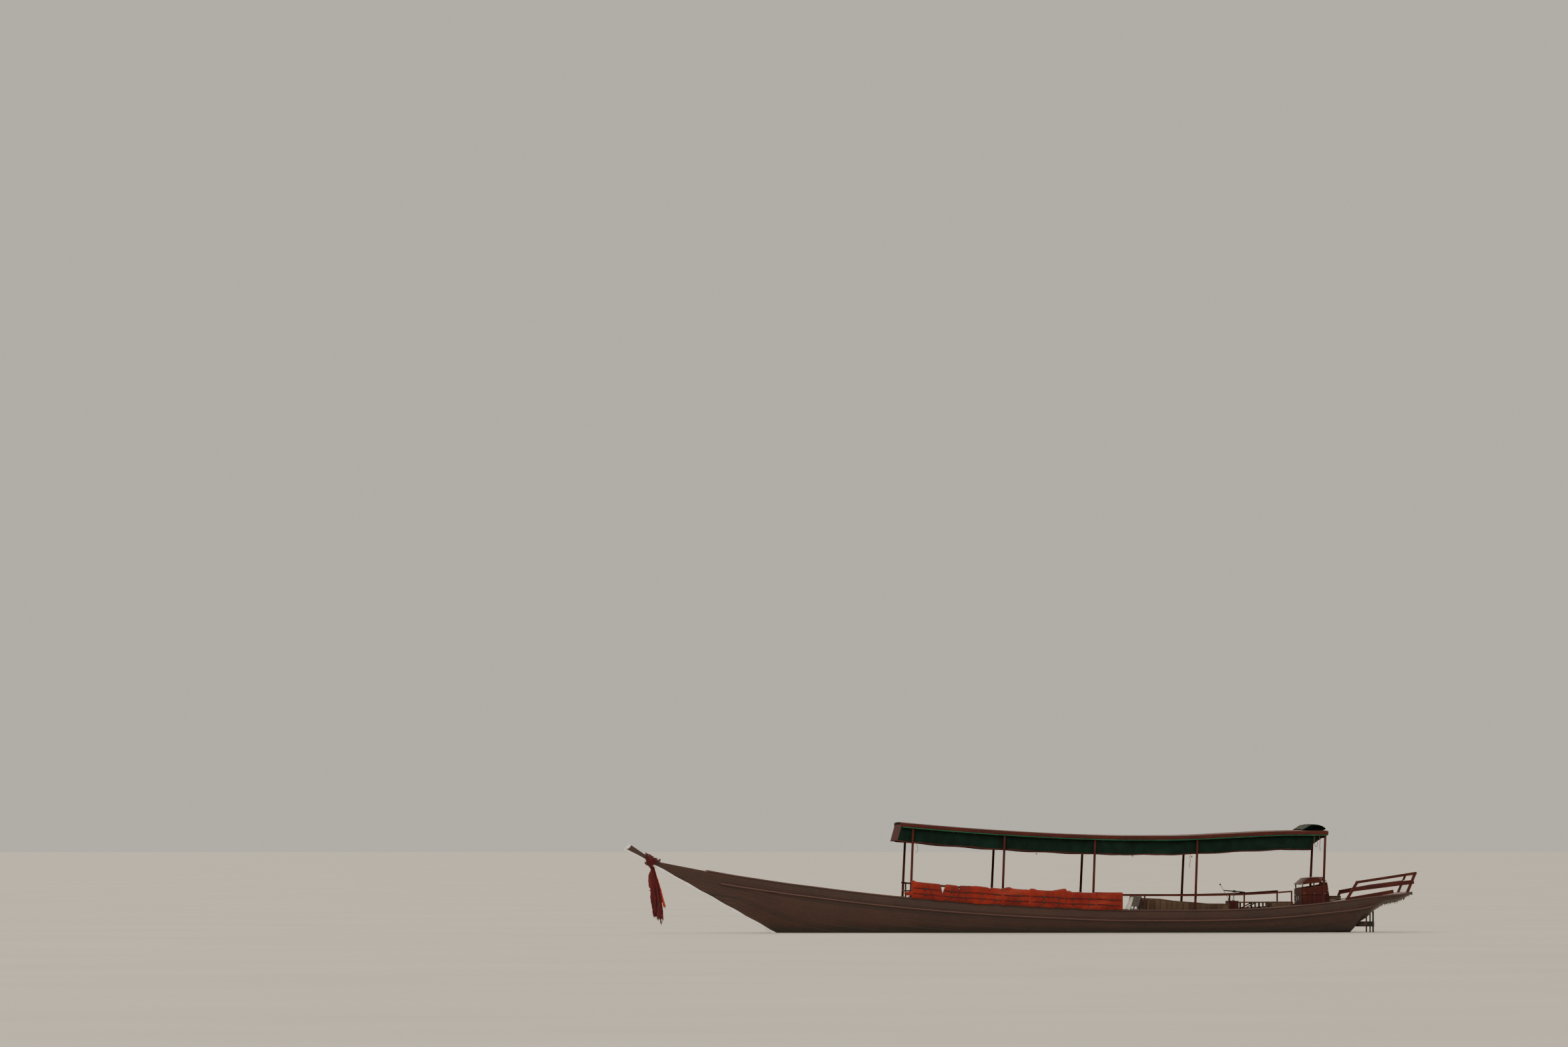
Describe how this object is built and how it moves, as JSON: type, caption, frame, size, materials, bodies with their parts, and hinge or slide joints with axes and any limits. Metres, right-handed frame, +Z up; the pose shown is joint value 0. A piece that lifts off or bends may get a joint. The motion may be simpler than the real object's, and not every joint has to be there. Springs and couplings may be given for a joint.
{
  "type": "wooden river passenger motorboat",
  "caption": "Long narrow wooden passenger motorboat with raised bow, open hull with benches, post-carried canopy, engine box, propeller and rudder.",
  "frame": {"origin": "amidships on the centre plane, on the waterline", "axes": "+X towards the stern, -Y to port, +Z up"},
  "size_m": [14.7844, 1.8422, 2.4717],
  "materials": {
    "hull": "dark red-brown varnish",
    "keel": "dark red-brown varnish",
    "trim": "red-brown gloss paint",
    "deck": "worn boards",
    "frame": "oiled",
    "paint": "red-brown gloss paint",
    "roof": "red-brown paint",
    "tarp": "coated tarpaulin",
    "jacket": "nylon over foam",
    "steel": "worn",
    "bronze": "cast, dulled",
    "iron": "painted, rusty edges",
    "rubber": "matt",
    "sash": "satin ribbon"
  },
  "bodies": {
    "boat": {"hull_planking_port_fore": "hull", "hull_planking_port_middle": "hull", "hull_planking_port_aft": "hull", "gunwale_port": "trim", "rub_rail_port": "trim", "hull_planking_starboard_fore": "hull", "hull_planking_starboard_middle": "hull", "hull_planking_starboard_aft": "hull", "gunwale_starboard": "trim", "rub_rail_starboard": "trim", "keel_and_stem": "keel", "frames_fore": "frame", "frames_middle": "frame", "frames_aft": "frame", "floor_boards": "deck", "fore_deck": "deck", "stern_deck": "deck", "bench_1": "deck", "bench_2": "deck", "bench_3": "deck", "bench_4": "deck", "bench_5": "deck", "roof_hoop_1": "paint", "roof_hoop_2": "paint", "roof_hoop_3": "paint", "roof_hoop_4": "paint", "roof_hoop_5": "paint", "roof_panel": "roof", "roof_ridge": "frame", "roof_purlin_port": "paint", "roof_purlin_starboard": "paint", "valance_port": "tarp", "valance_starboard": "tarp", "side_rail_port": "paint", "side_rail_starboard": "paint", "stern_rail_port": "paint", "stern_rail_starboard": "paint", "roof_front_fascia": "roof", "awning_roll": "tarp", "life_jackets": "jacket", "locker": "deck", "helm_console": "paint", "gear_lever": "steel", "helm_seat": "frame", "box_seat": "deck", "engine_box": "paint", "engine_block": "iron", "low_box": "deck", "taffrail": "paint", "transom": "trim", "stern_platform": "iron", "sash_wrap": "sash", "sash_tail": "sash"},
    "screw": {"propeller_shaft": "steel", "propeller": "bronze"},
    "rudder_blade": {"rudder": "iron"},
    "wheel": {"steering_wheel": "rubber"},
    "engine_lid": {"engine_box_lid": "paint"}
  },
  "joints": [
    {"name": "propeller_spin", "type": "hinge", "parent": "boat", "child": "screw", "pos_m": [6.4, 0, -0.2], "axis": [0.9663, 0, -0.2576], "continuous": true},
    {"name": "rudder_turn", "type": "hinge", "parent": "boat", "child": "rudder_blade", "pos_m": [6.652, 0, 0], "axis": [0, 0, 1], "range_deg": [-35, 35]},
    {"name": "wheel_turn", "type": "hinge", "parent": "boat", "child": "wheel", "pos_m": [4.03, 0, 0.762], "axis": [0.0936, 0, 0.9956], "range_deg": [-540, 540]},
    {"name": "engine_lid_hinge", "type": "hinge", "parent": "boat", "child": "engine_lid", "pos_m": [5.711, 0, 0.948], "axis": [0, 1, 0], "range_deg": [0, 70]}
  ],
  "couplings": [
    {"joint": "wheel_turn", "follows": "rudder_turn", "ratio": -15.4}
  ]
}
